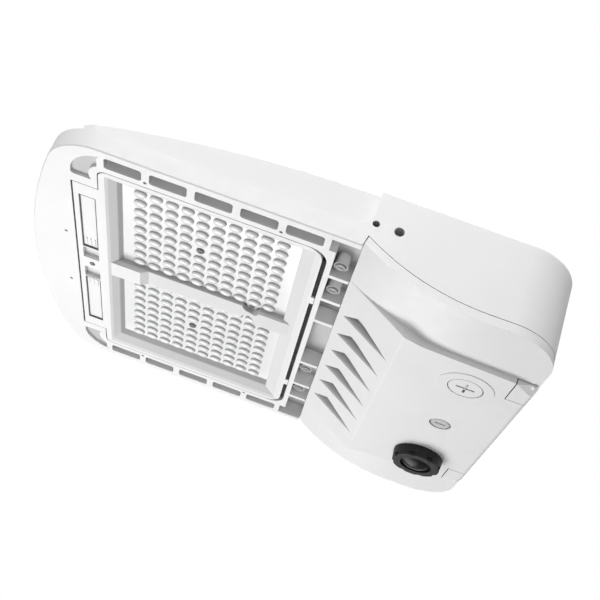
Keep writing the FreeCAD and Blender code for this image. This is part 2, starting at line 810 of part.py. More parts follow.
def make_driver_door():
    """Cast door: a rim and shoulder that follow the seam, and a raised panel with a ramp of gills."""
    shoulder = door_plan().common(shoulder_band())
    panel = raised(panel_plan(), -TALL, TALL).common(panel_profile(0)).common(seam_band(RIM - CUT, TALL))
    disc = rod(DISC_R, V(FITTING_X, FITTING_Y, PANEL_Z - DISC_H), DISC_H + CUT)
    solid = fused([shoulder, panel.cut(ahead_of(DOOR_FRONT)), disc])
    shoulder_hollow = raised(opening_plan(0), -TALL, TALL).common(seam_band(-CUT, RIM - DOOR_SKIN))
    panel_hollow = raised(panel_plan(2 * DOOR_SKIN, OPEN_REAR, OPEN_FRONT), -TALL, TALL)
    panel_hollow = panel_hollow.common(panel_profile(DOOR_SKIN)).common(seam_band(-CUT, TALL))
    backing = [scoop_shell(y) for y in scoop_rows()] + fitting_pads()
    solid = solid.cut(shoulder_hollow.fuse(panel_hollow).cut(backing))
    rear_relief = block(DOOR_REAR - CUT, HINGE_X, -HALF, HALF, HINGE_Z + HINGE_TOP_RELIEF, SEAM_Z + CUT)
    cuts = [rear_relief] + [scoop(y) for y in scoop_rows()] + hinge_notches() + door_holes()
    return solid.cut(cuts)


def fitting_pads():
    """Thicker places inside the door round the screw, the plug and the sensor."""
    pads = [rod(SCREW_PAD_R, V(FITTING_X, 0, PANEL_Z), DOOR_SKIN + FITTING_PAD_H)]
    for side in (-1, 1):
        pads.append(rod(FITTING_PAD_R, V(FITTING_X, side * FITTING_Y, PANEL_Z), DOOR_SKIN + FITTING_PAD_H))
    return pads


def scoop_rows():
    """Y of each gill's upright side."""
    return [SCOOP_FIRST_Y - index * SCOOP_PITCH for index in range(SCOOP_COUNT)]


def scoop_shell(y):
    """Wedge of metal that backs one gill inside the door."""
    front = SCOOP_FRONT + DOOR_SKIN
    rear = SCOOP_REAR - DOOR_SKIN
    deeps = [(x, ramp_height(x) + depth + DOOR_SKIN) for x, depth in SCOOP_DEEPS]
    top = deeps[1][1]
    side = across([(rear, PANEL_Z), (front, PANEL_Z), (front, top), deeps[1], deeps[0]], HALF)
    return side.common(block(0, LENGTH, y - DOOR_SKIN, y + SCOOP_W + DOOR_SKIN, PANEL_Z, top + CUT))


def door_holes():
    """Holes for the captive screw, blanking plug, sensor and hinge pins, with their recesses."""
    holes = [
        rod(SCREW_RECESS_R, V(FITTING_X, 0, PANEL_Z - CUT), SCREW_RECESS_DEPTH + CUT),
        rod(SCREW_SHANK_R + SCREW_CLEAR, V(FITTING_X, 0, PANEL_Z - CUT), 20.0),
        rod(PLUG_HEAD_R + PLUG_GAP, V(FITTING_X, FITTING_Y, PANEL_Z - CUT), plug_seat() - PANEL_Z + CUT),
    ]
    for side in (-1, 1):
        holes.append(rod(FITTING_HOLE_R, V(FITTING_X, side * FITTING_Y, PANEL_Z - CUT), 20.0))
        holes.append(pin_rod(side, HINGE_PIN_R + HINGE_RUN, HINGE_PIN_END))
    return holes


def pin_rod(side, radius, end):
    """Rod on the hinge axis through one tab, which reaches past the tab's inner side by end."""
    low, high = sorted((side * (HINGE_TAB_Y[0] - end), side * HINGE_TAB_Y[1]))
    return rod(radius, V(HINGE_X, low, HINGE_Z), high - low, Y_DIR)


def make_hinge_tabs():
    """Two tabs that hang from the box's rear flange and carry the hinge pins."""
    low, high = HINGE_TAB_Y
    tab = block(HINGE_TAB_REAR, HINGE_TAB_FRONT, low, high, PANEL_Z, SEAM_Z)
    rear = [edge for edge in tab.Edges if on_line(edge, HINGE_TAB_REAR, PANEL_Z)]
    tab = tab.makeFillet(REAR_EDGE_R, rear)
    tab = tab.cut(tab_bevel(low, high))
    bore_start = V(HINGE_X, low - CUT, HINGE_Z)
    tab = tab.cut(rod(HINGE_PIN_R + THREAD_CLEAR, bore_start, high - low + 2 * CUT, Y_DIR))
    return Part.makeCompound([tab, mirrored(tab)])


def tab_bevel(low, high):
    """Wedge that bevels a tab's outer rear corner, rising from the diagonal of its lower face."""
    front = V(HINGE_TAB_FRONT, high, PANEL_Z)
    rear = V(HINGE_TAB_REAR, (low + high) / 2, PANEL_Z)
    below = V(HINGE_TAB_REAR - CUT, high + CUT, PANEL_Z - CUT)
    above = V(HINGE_TAB_REAR, high, PANEL_Z + HINGE_TAB_BEVEL)
    return solid_of([(front, rear, above), (front, rear, below), (front, above, below), (rear, above, below)])


def on_line(edge, x, z):
    """True for an edge that lies at the given x and z along its whole length."""
    box = edge.BoundBox
    return max(abs(box.XMin - x), abs(box.XMax - x), abs(box.ZMin - z), abs(box.ZMax - z)) < 0.01


def make_hinge_pins():
    """Two plain pins, held in the tabs and running in the door on the tabs' inner sides."""
    return Part.makeCompound([
        pin_rod(side, HINGE_PIN_R, HINGE_PIN_END - HINGE_SIDE_GAP) for side in (-1, 1)
    ])


def make_door_gasket():
    """Seal in the groove of the box's rim, following the seam."""
    return gasket_ring(-GROOVE_DEPTH, GASKET_PROUD)


def make_door_screw():
    """Captive screw of the door, drawn out of its post so that the door is free."""
    seat = PANEL_Z + SCREW_RECESS_DEPTH
    reach = DOOR_SKIN + SCREW_REACH - SCREW_RECESS_DEPTH
    return screw(FITTING_X, 0, seat, reach, SCREW_HEAD_R, SCREW_HEAD_H, SCREW_SHANK_R)


def fitting_shank(y, low):
    """Threaded neck of a fitting through the door panel."""
    return rod(FITTING_SHANK_R, V(FITTING_X, y, low), panel_inside() + NUT_T + 2 * CUT - low)


def panel_inside():
    """Height of the inner face of the door panel at the fittings."""
    return PANEL_Z + DOOR_SKIN + FITTING_PAD_H


def plug_seat():
    """Height of the face that the plug's seal is pressed against."""
    return PANEL_Z - DISC_H + PLUG_HEAD_H + FITTING_SEAL_T


def make_fitting_nut(y):
    """Hexagon locknut on a fitting's neck inside the door."""
    nut = hexagon(NUT_AF, V(FITTING_X, y, panel_inside()), NUT_T)
    bore_start = V(FITTING_X, y, panel_inside() - CUT)
    return nut.cut(rod(FITTING_SHANK_R + THREAD_CLEAR, bore_start, NUT_T + 2 * CUT))


def make_fitting_seal(y, seat, radius):
    """Flat washer seal under a fitting's head."""
    seal = rod(radius, V(FITTING_X, y, seat - FITTING_SEAL_T), FITTING_SEAL_T)
    bore_start = V(FITTING_X, y, seat - FITTING_SEAL_T - CUT)
    return seal.cut(rod(FITTING_SHANK_R + THREAD_CLEAR, bore_start, FITTING_SEAL_T + 2 * CUT))


def make_blanking_plug():
    """Round plug with a cross slot, which closes the unused fitting hole."""
    seat = plug_seat() - FITTING_SEAL_T
    head = rod(PLUG_HEAD_R, V(FITTING_X, FITTING_Y, seat - PLUG_HEAD_H), PLUG_HEAD_H)
    rim = [edge for edge in head.Edges if edge.BoundBox.ZMax < seat - PLUG_HEAD_H + 0.01]
    head = head.makeChamfer(PLUG_HEAD_H * 0.2, rim)
    solid = fused([head, fitting_shank(FITTING_Y, seat - CUT)])
    face_z = seat - PLUG_HEAD_H
    half_l = PLUG_CROSS_L / 2
    half_w = PLUG_CROSS_W / 2
    for long_x, long_y in ((half_l, half_w), (half_w, half_l)):
        solid = solid.cut(block(
            FITTING_X - long_x, FITTING_X + long_x, FITTING_Y - long_y, FITTING_Y + long_y,
            face_z - CUT, face_z + PLUG_CROSS_DEPTH,
        ))
    return solid


def make_sensor_body():
    """Light sensor housing: a tapered drum with scalloped sides and a recess for its lens."""
    seat = PANEL_Z - FITTING_SEAL_T
    low = seat - SENSOR_H
    drum = Part.makeCone(SENSOR_R - SENSOR_TAPER, SENSOR_R, SENSOR_H, V(FITTING_X, -FITTING_Y, low))
    solid = fused([drum, fitting_shank(-FITTING_Y, seat - CUT)])
    notches = []
    for index in range(SENSOR_LOBES):
        angle = 2 * math.pi * (index + 0.5) / SENSOR_LOBES
        reach = SENSOR_R + SENSOR_LOBE_R * 0.45
        place = V(FITTING_X + reach * math.cos(angle), -FITTING_Y + reach * math.sin(angle), low - CUT)
        notches.append(rod(SENSOR_LOBE_R, place, SENSOR_H * 0.35 + CUT))
    solid = solid.cut(notches)
    recess_start = V(FITTING_X, -FITTING_Y, low - CUT)
    return solid.cut(rod(SENSOR_LENS_R + SCREW_CLEAR, recess_start, SENSOR_LENS_H / 2 + CUT))


def make_sensor_lens():
    """Shallow domed window of the sensor."""
    low = PANEL_Z - FITTING_SEAL_T - SENSOR_H
    top = low + SENSOR_LENS_H / 2
    rise = SENSOR_LENS_H
    ball_r = (SENSOR_LENS_R ** 2 + rise ** 2) / (2 * rise)
    ball = Part.makeSphere(ball_r, V(FITTING_X, -FITTING_Y, top - rise + ball_r))
    return ball.common(rod(SENSOR_LENS_R, V(FITTING_X, -FITTING_Y, top - rise - CUT), rise + CUT))


def make_optic_bezel():
    """Frame around the lenses: a flush flange, and a funnel of two slopes up to the plates."""
    tabs = []
    for middle in BEZEL_TAB_Y:
        tabs.append(block(
            BEZEL_REAR - BEZEL_REAR_GAP + BEZEL_CLEAR / 2, BEZEL_REAR + CUT,
            middle - BEZEL_TAB_W / 2, middle + BEZEL_TAB_W / 2, 0, BEZEL_T,
        ))
    body = fused([raised(bezel_plan(0, 0, 0), 0, BEZEL_T), raised(funnel_plan(FUNNEL_WALL), 0, LENS_Z)])
    opening = Part.makeLoft([
        mouth_wire(MOUTH_REAR, MOUTH_FRONT, MOUTH_HALF, 0),
        mouth_wire(KNEE_REAR, KNEE_FRONT, KNEE_HALF, KNEE_Z),
        mouth_wire(LIGHT_REAR, LIGHT_FRONT, LIGHT_HALF, LENS_Z),
    ], True, True)
    bar = make_bar().common(body)
    return fused([body.cut(opening), bar] + tabs).cut(tongue_cuts())


def make_bar():
    """Bar between the two plates: thin along the middle, with a deeper foot at each end."""
    rear_x, rear_z = BAR_REAR_FOOT
    nose_x, nose_z = BAR_NOSE_FOOT
    bar = across(
        [(MOUTH_REAR, LENS_Z), (MOUTH_REAR, rear_z), (rear_x, rear_z), (rear_x + BAR_FOOT_SLOPE, BAR_Z),
         (nose_x - BAR_FOOT_SLOPE, BAR_Z), (nose_x, nose_z), (MOUTH_FRONT, nose_z), (MOUTH_FRONT, LENS_Z)],
        BAR_HALF,
    )
    return bar.cut([rod(SCALLOP_R, V(TAB_X, side * BAR_HALF, 0), LENS_Z + CUT) for side in (-1, 1)])


def mouth_wire(rear, front, half, z):
    """Rectangle of the funnel at one height."""
    return Part.makePolygon([
        V(rear, -half, z), V(front, -half, z), V(front, half, z), V(rear, half, z), V(rear, -half, z)
    ])


def tongue_cuts():
    """Finger pockets, catch windows and screw hole of the bezel's tongue."""
    cuts = []
    for side in (-1, 1):
        low, high = sorted(side * y for y in POCKET_Y)
        pocket = block(POCKET_X[0], POCKET_X[1], low, high, -CUT, POCKET_DEPTH)
        for index in range(GRIP_COUNT):
            x = (POCKET_X[0] + POCKET_X[1]) / 2 + (index - 1) * GRIP_PITCH
            start, end = sorted(side * y for y in (GRIP_Y, GRIP_Y + GRIP_L))
            low_x = x - GRIP_W / 2
            grip = block(low_x, low_x + GRIP_W, start, end, POCKET_DEPTH - GRIP_H, POCKET_DEPTH + CUT)
            pocket = pocket.cut(grip)
        low, high = sorted(side * y for y in CATCH_Y)
        cuts += [pocket, block(POCKET_X[0], POCKET_X[1], low, high, -CUT, CATCH_DEPTH)]
    cuts.append(rod(SMALL_SHANK_R + SCREW_CLEAR, V(TONGUE_SCREW_X, 0, -CUT), BEZEL_T + 2 * CUT))
    return cuts


def make_bezel_gasket():
    """Seal between the bezel flange and the shelf in the frame, with a lip behind the bezel."""
    plan = bezel_plan(-CUT, BEZEL_REAR_GAP - BEZEL_CLEAR, -CUT)
    ring = raised(plan, BEZEL_T, BEZEL_T + BEZEL_GASKET_T)
    rear = BEZEL_REAR - BEZEL_REAR_GAP + BEZEL_CLEAR
    half = BEZEL_HALF - BEZEL_REAR_R
    lip = block(rear, BEZEL_REAR - BEZEL_CLEAR / 2, -half, half, GASKET_LIP_Z, BEZEL_T + CUT / 2)
    cuts = [raised(engine_pocket_plan(), 0, LENS_Z)]
    cuts.append(rod(SMALL_SHANK_R + SCREW_CLEAR, V(TONGUE_SCREW_X, 0, 0), LENS_Z))
    tab_half = BEZEL_TAB_W / 2 + BEZEL_CLEAR / 2
    for middle in BEZEL_TAB_Y:
        cuts.append(block(rear - CUT, BEZEL_REAR, middle - tab_half, middle + tab_half, 0, BEZEL_T))
    return fused([ring, lip]).cut(cuts)


def half_engine(inset, low, high, side):
    """Rectangular plate over one half of the light engine, between two heights."""
    outer = LIGHT_HALF + LENS_PLATE_LAP - inset
    start, end = sorted((side * (BAR_HALF - LENS_PLATE_LAP + inset), side * outer))
    return block(
        LIGHT_REAR - LENS_PLATE_LAP + inset, LIGHT_FRONT + LENS_PLATE_LAP - inset, start, end, low, high
    )


def engine_screw_hole(side, low, high):
    """Clearance hole for the screw of one plate."""
    x, y = lens_place(*LENS_SCREW_CELL, side)
    return rod(SMALL_SHANK_R + SCREW_CLEAR, V(x, y, low - CUT), high - low + 2 * CUT)


def lenslet(x, y):
    """One lens as an eight-sided oval dome with a flat crown, hanging under its plate."""
    rings = []
    for scale, z in ((1.0, LENS_Z), (LENS_CROWN, LENS_Z - LENS_H)):
        corners = []
        for index in range(LENS_SIDES + 1):
            angle = 2 * math.pi * (index + 0.5) / LENS_SIDES
            step_x = scale * LENS_HALF_X * math.cos(angle)
            step_y = scale * LENS_HALF_Y * math.sin(angle)
            corners.append(V(x + step_x, y + step_y, z))
        rings.append(Part.makePolygon(corners))
    return Part.makeLoft(rings, True, True)


def make_lens_plate(side):
    """Moulded lens plate: a clear slab with a grid of lenslets on its lower face."""
    plate = half_engine(0, LENS_Z, LENS_Z + LENS_PLATE_T, side)
    tab = rod(TAB_R, V(TAB_X, side * TAB_Y, LENS_Z), LENS_PLATE_T)
    tab_hole = rod(SMALL_SHANK_R + SCREW_CLEAR, V(TAB_X, side * TAB_Y, LENS_Z - CUT), LENS_PLATE_T + 2 * CUT)
    plate = fused([plate, tab]).cut([tab_hole, engine_screw_hole(side, LENS_Z, LENS_Z + LENS_PLATE_T)])
    return plate.fuse([lenslet(x, y) for x, y in lens_centres(side)])


def make_led_board(side):
    """Aluminium-core board behind one lens plate."""
    low = board_face()
    board = half_engine(BOARD_INSET, low, low + BOARD_T, side)
    return board.cut(engine_screw_hole(side, low, low + BOARD_T))


def make_led_chips(side):
    """Chips soldered to one board, one behind each lens."""
    half = CHIP_SIDE / 2
    low = board_face() - CHIP_H
    return Part.makeCompound([
        block(x - half, x + half, y - half, y + half, low, low + CHIP_H) for x, y in lens_centres(side)
    ])


def make_thermal_pads():
    """Heat-conducting sheets between the boards and the casting."""
    low = board_face() + BOARD_T
    sheets = []
    for side in (-1, 1):
        sheet = half_engine(BOARD_INSET, low, low + PAD_SHEET_T, side)
        sheets.append(sheet.cut(engine_screw_hole(side, low, low + PAD_SHEET_T)))
    return Part.makeCompound(sheets)


def make_lens_screws():
    """Two screws for each lens plate: one through its middle and one through its tab."""
    screws = []
    for side in (-1, 1):
        x, y = lens_place(*LENS_SCREW_CELL, side)
        screws.append(screw(x, y, LENS_Z, SMALL_REACH))
        screws.append(screw(TAB_X, side * TAB_Y, LENS_Z, SMALL_REACH, TAB_HEAD_R))
    return Part.makeCompound(screws)


def make_bezel_screws():
    """Screw of the bezel, in its tongue."""
    return screw(TONGUE_SCREW_X, 0, 0, SMALL_REACH + BEZEL_T, SMALL_SHANK_R * 1.6, SMALL_HEAD_H * 0.5)


def make_boss_screws():
    """Screws on the bosses in the vent cells."""
    return Part.makeCompound([
        screw(BOSS_X, y, BOSS_Z, SMALL_REACH, BOSS_HEAD_R, BOSS_HEAD_H) for y in BOSS_Y
    ])


def make_led_driver():
    """LED driver: a rounded can with a mounting ear at each end, fixed to the box ceiling."""
    top = box_inside_top()
    half_l = DRIVER_L / 2
    half_w = DRIVER_W / 2
    low = top - DRIVER_H
    can = block(DRIVER_X - half_w, DRIVER_X + half_w, DRIVER_Y - half_l, DRIVER_Y + half_l, low, top)
    long_edges = [
        edge for edge in can.Edges
        if edge.BoundBox.ZMax < low + 0.01 and edge.BoundBox.YLength > DRIVER_W
    ]
    can = can.makeFillet(DRIVER_EDGE_R, long_edges)
    reach = half_l + DRIVER_EAR
    ear_half = DRIVER_EAR_W / 2
    ear = block(
        DRIVER_X - ear_half, DRIVER_X + ear_half, DRIVER_Y - reach, DRIVER_Y + reach, top - DRIVER_EAR_T, top
    )
    holes = [
        rod(SMALL_SHANK_R + SCREW_CLEAR, V(DRIVER_X, y, low), DRIVER_H + CUT) for y in driver_screw_rows()
    ]
    return fused([can, ear]).cut(holes)


def driver_screw_rows():
    """Y of the two driver screws."""
    reach = DRIVER_L / 2 + DRIVER_EAR / 2
    return DRIVER_Y - reach, DRIVER_Y + reach


def make_driver_screws():
    """Short screws through the driver's ears."""
    seat = box_inside_top() - DRIVER_EAR_T
    reach = DRIVER_EAR_T + DRIVER_SCREW_BITE
    return Part.makeCompound([screw(DRIVER_X, y, seat, reach) for y in driver_screw_rows()])


def make_surge_protector():
    """Potted surge protector: a block with two rounded ends, fixed to the box ceiling."""
    top = box_inside_top()
    plan = round_plan(
        SURGE_X - SURGE_W / 2, SURGE_X + SURGE_W / 2,
        SURGE_Y - SURGE_L / 2, SURGE_Y + SURGE_L / 2, SURGE_W / 4,
    )
    return raised(plan, top - SURGE_H, top)


def make_terminal_block():
    """Supply terminal block: a row of poles with a wire mouth and a screw well each."""
    top = box_inside_top()
    low = top - TERMINAL_H
    x0 = TERMINAL_X - TERMINAL_W / 2
    y0 = TERMINAL_Y - TERMINAL_L / 2
    solid = block(x0, x0 + TERMINAL_W, y0, y0 + TERMINAL_L, low, top)
    pitch = TERMINAL_L / TERMINAL_POLES
    cuts = []
    for index in range(TERMINAL_POLES):
        y = y0 + (index + 0.5) * pitch
        cuts.append(rod(pitch * 0.25, V(x0 + TERMINAL_W * 0.35, y, low - CUT), 6.0 + CUT))
        cuts.append(rod(pitch * 0.22, V(x0 - CUT, y, low + TERMINAL_H * 0.6), TERMINAL_W * 0.4 + CUT, X_DIR))
    return solid.cut(cuts)


def make_wire_grommet():
    """Rubber bush in the supply wire hole of the rear wall."""
    body = rod(WIRE_HOLE_R - THREAD_CLEAR, V(0, 0, MOUNT_Z), PAD_T, X_DIR)
    lip = rod(WIRE_HOLE_R + 2.0, V(PAD_T, 0, MOUNT_Z), 3.0, X_DIR)
    bore = rod(WIRE_BORE_R, V(-CUT, 0, MOUNT_Z), PAD_T + 5.0, X_DIR)
    return fused([body, lip]).cut(bore)


def make_board_grommet():
    """Rubber bush where the board leads pass from the driver box to the light engine."""
    body = rod(FEED_R - THREAD_CLEAR, V(DIVIDER_REAR, FEED_Y, FEED_Z), 8.0, X_DIR)
    lip = rod(FEED_R + FEED_LIP, V(DIVIDER_REAR - 2.0, FEED_Y, FEED_Z), 2.0, X_DIR)
    bore = rod(FEED_BORE_R, V(DIVIDER_REAR - 5.0, FEED_Y, FEED_Z), 15.0, X_DIR)
    return fused([body, lip]).cut(bore)


def make_ground_screw():
    """Earth screw in the box ceiling."""
    return screw(GROUND_X, GROUND_Y, box_inside_top(), DRIVER_SCREW_BITE, GROUND_HEAD_R, GROUND_HEAD_H)


def all_parts():
    """Every node of the light by name."""
    return {
        "main_housing": make_main_housing(),
        "driver_door": make_driver_door(),
        "door_gasket": make_door_gasket(),
        "hinge_tabs": make_hinge_tabs(),
        "hinge_pins": make_hinge_pins(),
        "door_screw": make_door_screw(),
        "blanking_plug": make_blanking_plug(),
        "plug_seal": make_fitting_seal(FITTING_Y, plug_seat(), PLUG_HEAD_R - CUT),
        "plug_locknut": make_fitting_nut(FITTING_Y),
        "sensor_body": make_sensor_body(),
        "sensor_lens": make_sensor_lens(),
        "sensor_seal": make_fitting_seal(-FITTING_Y, PANEL_Z, SENSOR_R - CUT),
        "sensor_locknut": make_fitting_nut(-FITTING_Y),
        "optic_bezel": make_optic_bezel(),
        "bezel_gasket": make_bezel_gasket(),
        "lens_plate_left": make_lens_plate(1),
        "lens_plate_right": make_lens_plate(-1),
        "led_board_left": make_led_board(1),
        "led_board_right": make_led_board(-1),
        "led_chips_left": make_led_chips(1),
        "led_chips_right": make_led_chips(-1),
        "thermal_pads": make_thermal_pads(),
        "lens_screws": make_lens_screws(),
        "bezel_screws": make_bezel_screws(),
        "boss_screws": make_boss_screws(),
        "led_driver": make_led_driver(),
        "driver_screws": make_driver_screws(),
        "surge_protector": make_surge_protector(),
        "terminal_block": make_terminal_block(),
        "wire_grommet": make_wire_grommet(),
        "board_grommet": make_board_grommet(),
        "ground_screw": make_ground_screw(),
    }


os.makedirs("parts", exist_ok=True)
for name, shape in all_parts().items():
    placed = shape.copy()
    placed.translate(V(0, 0, -MOUNT_Z))
    placed.exportStep("parts/" + name + ".step")
    solids = placed.Solids
    volume = sum(solid.Volume for solid in solids)
    print(name, "solids", len(solids), "valid", placed.isValid(), "volume", round(volume, 1))
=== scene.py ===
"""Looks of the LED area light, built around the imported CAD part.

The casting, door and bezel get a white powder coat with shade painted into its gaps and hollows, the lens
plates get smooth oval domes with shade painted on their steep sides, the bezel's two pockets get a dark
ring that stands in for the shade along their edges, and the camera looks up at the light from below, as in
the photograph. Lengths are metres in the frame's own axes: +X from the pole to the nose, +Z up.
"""

import math

import bpy
import numpy as np
from mathutils import Matrix, Vector


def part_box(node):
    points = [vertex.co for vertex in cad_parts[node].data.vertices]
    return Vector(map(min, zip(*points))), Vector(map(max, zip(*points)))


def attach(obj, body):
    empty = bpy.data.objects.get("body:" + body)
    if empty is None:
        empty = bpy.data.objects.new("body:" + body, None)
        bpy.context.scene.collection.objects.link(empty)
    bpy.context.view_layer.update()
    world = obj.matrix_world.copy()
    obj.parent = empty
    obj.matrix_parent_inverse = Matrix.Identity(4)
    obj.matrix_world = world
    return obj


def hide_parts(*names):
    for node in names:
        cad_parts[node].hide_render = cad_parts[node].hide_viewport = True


MM = 0.001

# Camera, worked out from the photograph's straight edges and round fittings
CAMERA_PLACE = (0.16229, 0.79257, -0.41591)
CAMERA_RIGHT = (-0.93992, 0.13619, 0.31305)
CAMERA_UP = (0.33977, 0.46256, 0.81890)
FOCAL_PX = 1050.0
PHOTO_PX = 600.0

# Stage
FLOOR_Z = -2.6
FLOOR_SIDE = 60.0
FLOOR_SEEN = 0.92
AMBIENT = 0.20

# Lamps: name, place, what it is turned to, side of its square, watts
LAMPS = (
    ("below", (0.58, -1.40, -1.72), (0.20, 0.0, 0.0), 1.4, 37.5),
    ("fill", (0.05, 1.50, -0.90), (0.10, 0.0, 0.0), 0.8, 3.2),
    ("nose", (0.50, 0.02, -0.40), (0.40, 0.02, 0.0), 0.3, 0.46),
    ("side", (0.42, 1.30, 0.58), (0.20, 0.0, 0.0), 0.9, 13.1),
    ("top", (0.5, -0.4, 1.4), (0.2, 0.0, 0.0), 1.2, 6.0),
)

# Lens plates, as in the part's source
LENS_COLS = 10
LENS_ROWS = 9
LENS_PITCH = 12.8 * MM
LENS_MID_X = 271.5 * MM
LENS_MID_Y = 67.0 * MM
LENS_HALF_X = 5.4 * MM
LENS_HALF_Y = 4.0 * MM
LENS_H = 2.6 * MM
LENS_PLATE_T = 3.0 * MM
LENS_SCREW_CELL = (5, 4)
LENS_SPOKES = 14
LENS_RINGS = 5
PLATE_INNER_Y = 8.5 * MM
TAB_X = 228.0 * MM
TAB_Y = 7.5 * MM
TAB_R = 5.0 * MM
TAB_POINTS = 13
SHARP_ANGLE = math.radians(45)

# Powder coat with painted shade: its colour runs from a painted shade tone to white between two shares of
# open sky (ambient occlusion), shut and open
COAT_WHITE = (0.86, 0.86, 0.86)
COAT_PAINTED_SHADE = (0.22, 0.22, 0.22)
GAP_REACH = 8.0 * MM
GAP_SAMPLES = 8
GAP_SHUT = 0.06
GAP_OPEN = 0.45
PLUG_GAP_OPEN = 0.85

# Grain, as noise scales on the piece's own coordinates, and the height of fine relief
CLOUD_SCALE = 22.0
SHEEN_SCALE = 160.0
PEEL_SCALE = 900.0
GRAIN_SCALE = 300.0
FLOW_SCALE = 35.0
RELIEF_H = 0.2 * MM

# Share of the white left where shade is painted into full hollows
FRAME_SHADE_TONE = 0.44
BEZEL_SHADE_TONE = 0.45
DOOR_SHADE_TONE = 0.55

# Hollows of the front frame, with the heights between which the painted shade sets in
FRAME_Z = -16.0 * MM
DECK_Z = -0.5 * MM
FLOOR_HEIGHTS = (FRAME_Z + 1.5 * MM, FRAME_Z + 2.4 * MM)
SLOT_HEIGHTS = (FRAME_Z + 0.2 * MM, FRAME_Z + 2.0 * MM)
SLOTS_X = (157.0 * MM, 356.0 * MM)
SLOTS_Y = (149.0 * MM, 164.5 * MM)
SLOT_WALL_SHARE = 0.5

# Painted shade in the bezel's hollows: an outer slope, then a throat, both fainter on faces turned to the
# nose
SLOPE_HEIGHTS = (FRAME_Z + 1.5 * MM, FRAME_Z + 1.8 * MM)
SLOPE_SHARE = 0.42
THROAT_HEIGHTS = (FRAME_Z + 5.4 * MM, FRAME_Z + 6.6 * MM)
THROAT_SHARE = 0.58
NOSE_TURN = (0.15, 0.45)
NOSE_SHARE = 0.25

# Gills in the door's ramp, with depths above the ramp's straight line between which shade is painted
PANEL_BEND = 107.0 * MM
PANEL_Z = -46.0 * MM
RAMP_TOP = (158.0 * MM, -16.5 * MM)
GILLS_X = (PANEL_BEND + 1.0 * MM, RAMP_TOP[0] - 3.0 * MM)
GILLS_Y = (-90.0 * MM, 90.0 * MM)
GILL_DEPTHS = (0.6 * MM, 3.0 * MM)

# Acrylic of the lenses, on a crown and with painted shade on a steep side
ACRYLIC_CROWN = (0.91, 0.912, 0.915)
ACRYLIC_STEEP_SHADE = (0.30, 0.302, 0.305)

# Pockets of the bezel's tongue, as in the part's source, and a dark ring in each that stands in for the
# shade along its edges
POCKET_X = (362.0 * MM, 376.0 * MM)
POCKET_Y = (26.0 * MM, 104.0 * MM)
POCKET_DEPTH = 1.4 * MM
SHADE_RING_W = 0.8 * MM
SHADE_RING_DROP = 0.05 * MM


def new_material(name, colour, roughness, metallic=0.0):
    """Surface material with its plain values on the shader's own sockets."""
    material = bpy.data.materials.new(name)
    material.use_nodes = True
    shader = material.node_tree.nodes["Principled BSDF"]
    shader.inputs["Base Color"].default_value = (*colour, 1.0)
    shader.inputs["Roughness"].default_value = roughness
    shader.inputs["Metallic"].default_value = metallic
    return material, shader


def noise(material, scale, detail=3.0):
    """Noise texture on the piece's own coordinates."""
    nodes = material.node_tree.nodes
    place = nodes.new("ShaderNodeTexCoord")
    texture = nodes.new("ShaderNodeTexNoise")
    texture.inputs["Scale"].default_value = scale
    texture.inputs["Detail"].default_value = detail
    material.node_tree.links.new(place.outputs["Object"], texture.inputs["Vector"])
    return texture.outputs["Fac"]


def spread(material, value, low, high, start=0.35, end=0.65):
    """Map a value between start and end onto low to high."""
    node = material.node_tree.nodes.new("ShaderNodeMapRange")
    node.inputs["From Min"].default_value = start
    node.inputs["From Max"].default_value = end
    node.inputs["To Min"].default_value = low
    node.inputs["To Max"].default_value = high
    material.node_tree.links.new(value, node.inputs["Value"])
    return node.outputs["Result"]


def tint(material, shader, factor, dark, light):
    """Base colour that runs from dark to light with a factor."""
    node = material.node_tree.nodes.new("ShaderNodeMix")
    node.data_type = "RGBA"
    node.inputs["A"].default_value = (*dark, 1.0)
    node.inputs["B"].default_value = (*light, 1.0)
    links = material.node_tree.links
    links.new(factor, node.inputs["Factor"])
    links.new(node.outputs["Result"], shader.inputs["Base Color"])


def bump(material, shader, height, strength, distance):
    """Fine relief from a height value."""
    node = material.node_tree.nodes.new("ShaderNodeBump")
    node.inputs["Strength"].default_value = strength
    node.inputs["Distance"].default_value = distance
    links = material.node_tree.links
    links.new(height, node.inputs["Height"])
    links.new(node.outputs["Normal"], shader.inputs["Normal"])


def combine(material, operation, *values):
    """Result of a math step on values, each the output of another step or a plain number."""
    node = material.node_tree.nodes.new("ShaderNodeMath")
    node.operation = operation
    for index, value in enumerate(values):
        if isinstance(value, float):
            node.inputs[index].default_value = value
        else:
            material.node_tree.links.new(value, node.inputs[index])
    return node.outputs["Value"]


def multiply(material, first, second):
    """Product of two values."""
    return combine(material, "MULTIPLY", first, second)


def part_of(material, output, axis):
    """One axis of the piece's own place or normal."""
    nodes = material.node_tree.nodes
    place = nodes.new("ShaderNodeTexCoord")
    split = nodes.new("ShaderNodeSeparateXYZ")
    material.node_tree.links.new(place.outputs[output], split.inputs["Vector"])
    return split.outputs[axis]


def between(material, value, low, high):
    """One where a value lies between two numbers, and nought elsewhere."""
    above = combine(material, "GREATER_THAN", value, low)
    below = combine(material, "LESS_THAN", value, high)
    return multiply(material, above, below)


def recess_floors(material):
    """Painted-shade mask: one on downward floors set back from the front frame's face."""
    z = part_of(material, "Object", "Z")
    deep = spread(material, z, 0.0, 1.0, *FLOOR_HEIGHTS)
    downward = spread(material, part_of(material, "Normal", "Z"), 0.0, 1.0, -0.5, -0.8)
    return multiply(material, deep, downward)


def funnel_hollows(material):
    """Painted-shade mask: a share that grows with the depth above the bezel's face, fainter on faces
    turned to the nose.
    """
    z = part_of(material, "Object", "Z")
    slope = spread(material, z, 0.0, SLOPE_SHARE, *SLOPE_HEIGHTS)
    throat = spread(material, z, 0.0, THROAT_SHARE, *THROAT_HEIGHTS)
    away = spread(material, part_of(material, "Normal", "X"), 1.0, NOSE_SHARE, *NOSE_TURN)
    return multiply(material, combine(material, "ADD", slope, throat), away)


